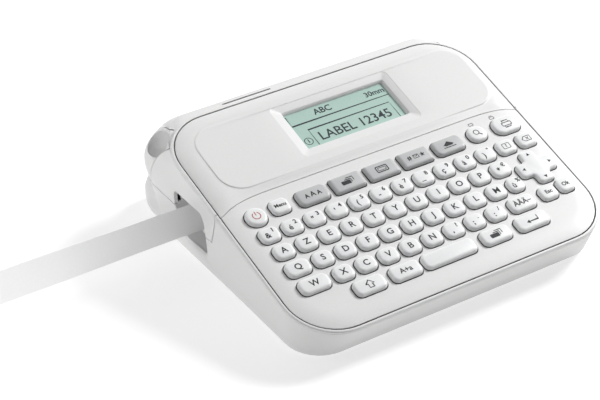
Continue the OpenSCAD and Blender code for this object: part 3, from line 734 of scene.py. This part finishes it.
def key_ring(place, grow, w):
    """Ring of one key, grown by an amount, at height w over the rim."""
    x0, x1, v0, v1, radius = place
    radius = min(max(0.5, radius + grow), (x1 - x0) / 2 + grow - 0.01, (v1 - v0) / 2 + grow - 0.01)
    return [panel_point(x, v, w)
            for x, v in outline(x0 - grow, x1 + grow, v0 - grow, v1 + grow, radius, 8, 2)]


nav_points = [in_panel(mm(v.co)) for v in frame["nodes"]["nav_pad"].data.vertices]
nav_points = [p for p in nav_points if p[2] > SHANK_W]
NAV_X = (min(p[0] for p in nav_points) + max(p[0] for p in nav_points)) / 2
NAV_V = (min(p[1] for p in nav_points) + max(p[1] for p in nav_points)) / 2
NAV_HALF_X = max(p[0] for p in nav_points) - NAV_X
NAV_HALF_V = max(p[1] for p in nav_points) - NAV_V
NAV_ARM = 4.7


def nav_ring(grow, w):
    """Plus-shaped ring of the direction pad."""
    a, lx, lv = NAV_ARM + grow, NAV_HALF_X + grow, NAV_HALF_V + grow
    tip, notch = max(0.6, 2.6 + grow), max(0.4, 1.6 - grow)
    corners = [(lx, -a, tip), (lx, a, tip), (a, a, notch), (a, lv, tip), (-a, lv, tip),
               (-a, a, notch), (-lx, a, tip), (-lx, -a, tip), (-a, -a, notch), (-a, -lv, tip),
               (a, -lv, tip), (a, -a, notch)]
    return [panel_point(NAV_X + x, NAV_V + v, w) for x, v in rounded_polygon(corners)]


GREY_KEYS = ("key_text", "key_label_type", "key_frame", "key_symbol", "key_template")
KEY_NODES = [n for n in frame["nodes"] if n.startswith("key_") or n.endswith("_keys")]
KEY_PLACES = {node: key_places(node) for node in sorted(KEY_NODES)}
BODY_OF = {node: body for body, members in frame["record"]["behaviour"]["bodies"].items()
           for node in members}


def joined(name, parts):
    """One object out of several, whose meshes it keeps."""
    builder = bmesh.new()
    for part in parts:
        builder.from_mesh(part.data)
        bpy.data.objects.remove(part)
    mesh = bpy.data.meshes.new(name)
    builder.to_mesh(mesh)
    builder.free()
    return new_object(name, mesh)


def paint_key_gap_shade(cap):
    """The foot of a key cap gets dark rubber as painted shade for the gap around the key."""
    cap.data.materials.append(FINISHES["membrane_rubber"])
    for face in cap.data.polygons:
        if in_panel(mm(face.center))[2] < GAP_SHADE_TOP_W - 0.01:
            face.material_index = 1


# Each key cap gets dark rubber at its foot as painted shade for the gap around it.
hole_tools = []
for node, places in KEY_PLACES.items():
    caps = [loft("cap", [key_ring(place, grow, w) for grow, w in KEY_STEPS]) for place in places]
    cap = joined("cap_" + node, caps)
    finish = "grey_key_plastic" if node in GREY_KEYS else "key_plastic"
    paint_key_gap_shade(finish_piece(shade(cap, 50), BODY_OF[node], finish, node))
    hole_tools += [loft("hole", [key_ring(place, grow, w) for grow, w in HOLE_STEPS])
                   for place in places]
nav_pad = loft("nav_cap", [nav_ring(grow, w) for grow, w in KEY_STEPS])
paint_key_gap_shade(finish_piece(shade(nav_pad, 50), BODY_OF["nav_pad"], "key_plastic", "nav_pad"))
hole_tools.append(loft("nav_hole", [nav_ring(grow, w) for grow, w in HOLE_STEPS]))
carve(keyboard_panel, "DIFFERENCE", joined("holes", hole_tools))
for panel, node in ((keyboard_panel, "keyboard_panel"), (display_panel, "display_panel")):
    finish_piece(shade(panel, 40), "case", "case_plastic", node)
    # The panel sides down in the gap get dark rubber as painted shade.
    paint_panel_gap_shade(panel)

# ---------- Legends ----------

LEGEND_LIFT = 0.03
LETTER_SIZE = 5.0
TEXT_BOLDNESS = 0.1


def text_shape(text, size, x, v):
    """Flat printed text in panel coordinates: vertices (x, v) and faces."""
    curve = bpy.data.curves.new("text", "FONT")
    curve.body = text
    curve.size = size
    curve.offset = TEXT_BOLDNESS
    curve.align_x = "CENTER"
    curve.align_y = "CENTER"
    curve.resolution_u = 3
    obj = new_object("text", curve)
    bpy.context.view_layer.update()
    mesh = bpy.data.meshes.new_from_object(obj.evaluated_get(bpy.context.evaluated_depsgraph_get()))
    points = [(p.co.x + x, p.co.y + v) for p in mesh.vertices]
    faces = [tuple(face.vertices) for face in mesh.polygons]
    bpy.data.objects.remove(obj)
    return points, faces


def stroke(points, width, closed=False):
    """Flat line of even width through points (x, v)."""
    count = len(points)
    sides, faces = [], []
    for i in range(count):
        here = Vector(points[i])
        before = Vector(points[i - 1]) if closed or i else here
        after = Vector(points[(i + 1) % count]) if closed or i < count - 1 else here
        along = (after - before).normalized()
        out = Vector((-along.y, along.x)) * width / 2
        if before != here and after != here:
            turn = (here - before).normalized().dot(along)
            out /= max(0.5, turn)
        sides += [tuple(here + out), tuple(here - out)]
    for i in range(count if closed else count - 1):
        a, b = 2 * i, 2 * ((i + 1) % count)
        faces.append((a, a + 1, b + 1, b))
    return sides, faces


def patch(points):
    """Filled flat shape."""
    return list(points), [tuple(range(len(points)))]


def circle_points(x, v, radius, start=0, end=360, steps=24):
    """Points on an arc, angles in degrees."""
    return [(x + radius * math.cos(math.radians(start + (end - start) * i / steps)),
             v + radius * math.sin(math.radians(start + (end - start) * i / steps)))
            for i in range(steps + (0 if end - start == 360 else 1))]


def ring_shape(x, v, radius, width, start=0, end=360):
    """Flat ring, or an arc of it."""
    return stroke(circle_points(x, v, radius, start, end), width, end - start == 360)


def frame_shape(x, v, w, d, radius, width):
    """Outline of a rectangle with round corners."""
    return stroke(outline(x - w / 2, x + w / 2, v - d / 2, v + d / 2, radius, 3, 1), width, True)


def printed(name, shapes, w, body, ink):
    """One thin printed piece out of flat shapes, at height w over the rim."""
    vertices, faces = [], []
    for points, shape_faces in shapes:
        base = len(vertices)
        vertices += [panel_point(x, v, w) for x, v in points]
        faces += [tuple(base + i for i in face) for face in shape_faces]
    mesh = bpy.data.meshes.new(name)
    mesh.from_pydata([v * MM for v in vertices], [], faces)
    return finish_piece(new_object(name, mesh), body, ink)


def middle(place):
    """Middle of a key outline."""
    return (place[0] + place[1]) / 2, (place[2] + place[3]) / 2


def letter_row(node, labels):
    """One sign in the middle of a key, or a large one low on the left and a small one high up."""
    shapes = []
    for label, place in zip(labels, KEY_PLACES[node]):
        x, v = middle(place)
        if len(label) == 1:
            shapes.append(text_shape(label, LETTER_SIZE, x, v))
        else:
            shapes.append(text_shape(label[0], 4.6, x - 1.5, v - 0.9))
            shapes.append(text_shape(label[1], 3.5, x + 2.3, v + 1.6))
    return shapes


def power_icon(x, v):
    return [ring_shape(x, v, 2.1, 0.5, -240, 60), stroke([(x, v + 0.2), (x, v + 2.7)], 0.5)]


def text_icon(x, v):
    return [text_shape("A", 3.6, x - 3.6, v - 0.3), text_shape("A", 4.4, x, v),
            text_shape("A", 3.6, x + 3.6, v - 0.3)]


def label_icon(x, v):
    return [patch(outline(x - 3.8, x + 1.6, v - 1.9, v + 0.6, 0.5, 3, 1)),
            stroke([(x - 1.4, v + 1.1), (x + 2.2, v + 1.1), (x + 2.2, v - 1.2)], 0.5),
            stroke([(x - 0.2, v + 2.1), (x + 3.6, v + 2.1), (x + 3.6, v - 0.4)], 0.5)]


def frame_icon(x, v):
    return [frame_shape(x, v, 6.6, 3.6, 0.5, 0.6), frame_shape(x, v, 4.6, 1.8, 0.3, 0.35)]


def symbol_icon(x, v):
    star = [(x + 4.1 + r * math.sin(math.radians(36 * i)), v + r * math.cos(math.radians(36 * i)))
            for i, r in enumerate([1.7, 0.7] * 5)]
    mail = (x + 0.2, v, 3.0, 2.2)
    return [text_shape("#", 3.8, x - 3.9, v), frame_shape(*mail, 0.2, 0.35),
            stroke([(x - 1.2, v + 1.0), (x + 0.2, v - 0.1), (x + 1.6, v + 1.0)], 0.35), patch(star)]


def template_icon(x, v):
    return [patch([(x - 3.4, v - 0.3), (x, v + 2.2), (x + 3.4, v - 0.3), (x + 2.4, v - 0.3),
                   (x + 2.4, v - 0.9), (x - 2.4, v - 0.9), (x - 2.4, v - 0.3)]),
            stroke([(x - 3.8, v - 1.8), (x + 3.8, v - 1.8)], 0.5)]


def search_icon(x, v):
    return [ring_shape(x - 0.5, v + 0.5, 1.5, 0.45), stroke([(x + 0.6, v - 0.6), (x + 2, v - 2)], 0.6)]


def print_icon(x, v):
    return [frame_shape(x, v - 0.3, 5.6, 2.2, 0.4, 0.45),
            stroke([(x - 1.8, v + 0.8), (x - 1.8, v + 2.2), (x + 1.8, v + 2.2), (x + 1.8, v + 0.8)], 0.4),
            stroke([(x - 1.8, v - 1.5), (x - 1.8, v - 2.5), (x + 1.8, v - 2.5), (x + 1.8, v - 1.5)], 0.4)]


def help_icon(x, v):
    return [frame_shape(x, v, 4.4, 3.4, 0.4, 0.35), text_shape("?", 2.8, x, v)]


def backspace_icon(x, v):
    return [stroke([(x - 2.7, v), (x - 1.2, v + 1.6), (x + 2.5, v + 1.6), (x + 2.5, v - 1.6),
                    (x - 1.2, v - 1.6)], 0.4, True),
            stroke([(x - 0.2, v + 0.8), (x + 1.4, v - 0.8)], 0.4),
            stroke([(x + 1.4, v + 0.8), (x - 0.2, v - 0.8)], 0.4)]


def shift_icon(x, v):
    return [stroke([(x, v + 2.4), (x + 2.4, v), (x + 1.2, v), (x + 1.2, v - 2.2), (x - 1.2, v - 2.2),
                    (x - 1.2, v), (x - 2.4, v)], 0.45, True)]


def enter_icon(x, v):
    return [stroke([(x + 3.4, v + 2.0), (x + 3.4, v - 0.6), (x - 2.4, v - 0.6)], 0.5),
            patch([(x - 3.8, v - 0.6), (x - 1.8, v + 0.6), (x - 1.8, v - 1.8)])]


ICONS = {"key_power": power_icon, "key_text": text_icon, "key_label_type": label_icon,
         "key_frame": frame_icon, "key_symbol": symbol_icon, "key_template": template_icon,
         "key_search": search_icon, "key_print": print_icon, "key_help": help_icon,
         "key_backspace": backspace_icon, "key_shift": shift_icon, "key_label": label_icon,
         "key_enter": enter_icon}
WORDS = {"key_menu": ("Menu", 3.0), "key_esc": ("Esc", 3.3), "key_ok": ("Ok", 3.4),
         "key_accent": ("ÀÂÄ–", 4.2), "key_caps": ("A+a", 4.3)}
ROWS = {"digit_keys": ("&1", "é2", "\"3", "'4", "(5", "-6", "è7", "_8", "ç9", "à0", ")°"),
        "upper_letter_keys": tuple("AZERTYUIOP") + ("*€",),
        "home_letter_keys": tuple("QSDFGHJKLM") + ("ù%",),
        "lower_letter_keys": tuple("WXCVBN") + (",?", ";.", ":/")}

legend_shapes = {}
for node, labels in ROWS.items():
    legend_shapes[node] = letter_row(node, labels)
for node, icon in ICONS.items():
    legend_shapes[node] = icon(*middle(KEY_PLACES[node][0]))
for node, (word, size) in WORDS.items():
    legend_shapes[node] = [text_shape(word, size, *middle(KEY_PLACES[node][0]))]
ARROW_REACH = 8.2
legend_shapes["nav_pad"] = [
    patch([(NAV_X + ARROW_REACH * math.cos(turn) + size * math.cos(turn + spread),
            NAV_V + ARROW_REACH * math.sin(turn) + size * math.sin(turn + spread))
           for spread, size in ((0, 1.1), (2.2, 1.3), (-2.2, 1.3))])
    for turn in (0, math.pi / 2, math.pi, -math.pi / 2)]
for node, shapes in legend_shapes.items():
    ink = RED_INK if node == "key_power" else INK
    printed("legend_" + node, shapes, KEY_TOP + LEGEND_LIFT, BODY_OF[node], ink)

# Small marks printed on the panel itself, each at its key
search_x, search_v = middle(KEY_PLACES["key_search"][0])
print_x, print_v = middle(KEY_PLACES["key_print"][0])
panel_marks = [frame_shape(search_x + 1.5, search_v + 7.6, 2.6, 1.5, 0.2, 0.3),
               frame_shape(print_x - 3.5, print_v + 7.8, 2.6, 1.5, 0.2, 0.3),
               stroke([(print_x - 4.5, print_v + 9.2), (print_x - 2.5, print_v + 9.2)], 0.3)]
printed("panel_marks", panel_marks, CROWN + 0.06, "case", INK)

# ---------- Display ----------

DISPLAY_W = LCD_W - 0.05
glass = loft("display_glass", [panel_ring(lcd_ring(-0.3, 0.5), lambda x, v: DISPLAY_W - 1.0),
                               panel_ring(lcd_ring(-0.3, 0.5), lambda x, v: DISPLAY_W)])
finish_piece(shade(glass), "case", "window", "lcd_window")
top_v, left_x = LCD_V1 - 0.5, LCD_X0 + 0.5
RULE_V, FRAME_V = top_v - 8.2, top_v - 13.2
FRAME_X0, FRAME_X1 = left_x + 7.2, left_x + 58.0
lcd_shapes = [
    stroke([(left_x + 0.6, top_v - 1), (left_x + 0.6, RULE_V), (LCD_X1 - 0.8, RULE_V)], 0.5),
    text_shape("ABC", 5.6, left_x + 22, RULE_V + 4.4),
    text_shape("30mm", 4.8, left_x + 54.5, RULE_V + 4.0),
    stroke([(FRAME_X0, LCD_V0 + 1), (FRAME_X0, FRAME_V), (FRAME_X1, FRAME_V),
            (FRAME_X1, LCD_V0 + 1)], 0.5),
    ring_shape(left_x + 3.2, LCD_V0 + 5.2, 2.3, 0.4),
    text_shape("1", 3.4, left_x + 3.2, LCD_V0 + 5.2),
    text_shape("LABEL 12345", 8.2, (FRAME_X0 + FRAME_X1) / 2, LCD_V0 + 5.6),
]
printed("display_print", lcd_shapes, DISPLAY_W + LEGEND_LIFT, "case", LCD_INK)

# ---------- Label tape ----------

tape_low, tape_high = node_box("label_tape")
TAPE_Y = (tape_low.y + tape_high.y) / 2
TAPE_TWIST = math.radians(8)
TAPE_STEPS = 24
TWIST_START_X = -100.0


def tape_section(x):
    """Cross section of the tape, which leans back as it leaves the machine."""
    lean = TAPE_TWIST * smooth((TWIST_START_X - x) / (TWIST_START_X - tape_low.x))
    middle_z = (tape_low.z + tape_high.z) / 2
    half, thick = (tape_high.z - tape_low.z) / 2, (tape_high.y - tape_low.y) / 2
    corners = []
    for side, height in ((-1, -1), (1, -1), (1, 1), (-1, 1)):
        flat = Vector((0, side * thick, height * half))
        turned = Matrix.Rotation(-lean, 3, "X") @ flat
        corners.append(Vector((x, TAPE_Y + turned.y, middle_z + turned.z)))
    return corners


tape = loft("printed_tape", [tape_section(lerp(tape_high.x, tape_low.x, i / TAPE_STEPS))
                             for i in range(TAPE_STEPS + 1)])
finish_piece(shade(tape), "label_tape", "tape_film", "label_tape")

# ---------- Pocket behind the tape exit ----------

POCKET_X0, POCKET_X1, POCKET_BACK = -90.2, -81.4, -81.0
pocket = loft("exit_pocket", [[across(y, z, x) for y, z in grown_exit(1.3)]
                              for x in (POCKET_X0, POCKET_BACK)])
carve(pocket, "DIFFERENCE",
      loft("pocket_room", [[across(y, z, x) for y, z in grown_exit(0.05)]
                           for x in (POCKET_X0 - 2, POCKET_X1)]),
      box_solid("tape_slot", (-95, 26.6, 12.0), (-80, 30.2, 35.0)),
      box_solid("cutter_slot", (-89.9, 38, 26.5), (-87.6, 46, 35.6)))
finish_piece(shade(pocket), "case", "case_plastic")

# ---------- Camera, light and floor ----------

CAMERA_PLACE = Vector((-495.6, -691.3, 589.0))
CAMERA_TURN, CAMERA_DROP = math.radians(33.24), math.radians(33.91)
camera_data = bpy.data.cameras.new("camera")
camera_data.lens = 118.45
camera_data.sensor_width = 36
camera_data.clip_end = 20
camera = new_object("camera", camera_data)
camera.location = CAMERA_PLACE * MM
camera.rotation_euler = (math.pi / 2 - CAMERA_DROP, 0, -CAMERA_TURN)
scene.camera = camera
scene.view_settings.view_transform = "Standard"


def soft_light(name, place, aim, size, power, spread=180):
    """Large square lamp that looks at a point, places in millimetres."""
    data = bpy.data.lights.new(name, "AREA")
    data.shape = "SQUARE"
    data.size = size * MM
    data.energy = power
    data.spread = math.radians(spread)
    lamp = new_object(name, data)
    lamp.location = Vector(place) * MM
    lamp.rotation_euler = (Vector(aim) - Vector(place)).to_track_quat("-Z", "Y").to_euler()


soft_light("key_light", (1250, 60, 1100), (0, 0, 20), 450, 29)
soft_light("left_fill", (-1100, 500, 600), (-60, 40, 30), 700, 2)
soft_light("tape_fill", (-430, -260, 150), (-210, 25, 22), 120, 0.035, spread=40)

# The sky is bright behind the object and dim in front, which shades its front walls
world = bpy.data.worlds.new("studio")
world.use_nodes = True
world_nodes, world_links = world.node_tree.nodes, world.node_tree.links
sky = world_nodes["Background"]
sky.inputs["Color"].default_value = (1, 1, 1, 1)
sky_place = world_nodes.new("ShaderNodeTexCoord")
sky_parts = world_nodes.new("ShaderNodeSeparateXYZ")
sky_fade = world_nodes.new("ShaderNodeMapRange")
sky_fade.inputs["From Min"].default_value = -0.8
sky_fade.inputs["From Max"].default_value = 0.8
sky_fade.inputs["To Min"].default_value = 0.06
sky_fade.inputs["To Max"].default_value = 0.78
world_links.new(sky_place.outputs["Generated"], sky_parts.inputs["Vector"])
world_links.new(sky_parts.outputs["Y"], sky_fade.inputs["Value"])
world_links.new(sky_fade.outputs["Result"], sky.inputs["Strength"])
scene.world = world

FLOOR_HALF = 3000
floor = piece("floor", [Vector((x * FLOOR_HALF, y * FLOOR_HALF, 0))
                        for x, y in ((-1, -1), (1, -1), (1, 1), (-1, 1))], [(0, 1, 2, 3)])
floor_paint = node_material("floor_paint", (0.5, 0.5, 0.5), 0.9, grain=40, bump=0.0, tone=0.005)
floor_shader = floor_paint.node_tree.nodes["Principled BSDF"]
floor_shader.inputs["Emission Color"].default_value = (1, 1, 1, 1)
floor_shader.inputs["Emission Strength"].default_value = 0.58
floor.data.materials.append(floor_paint)
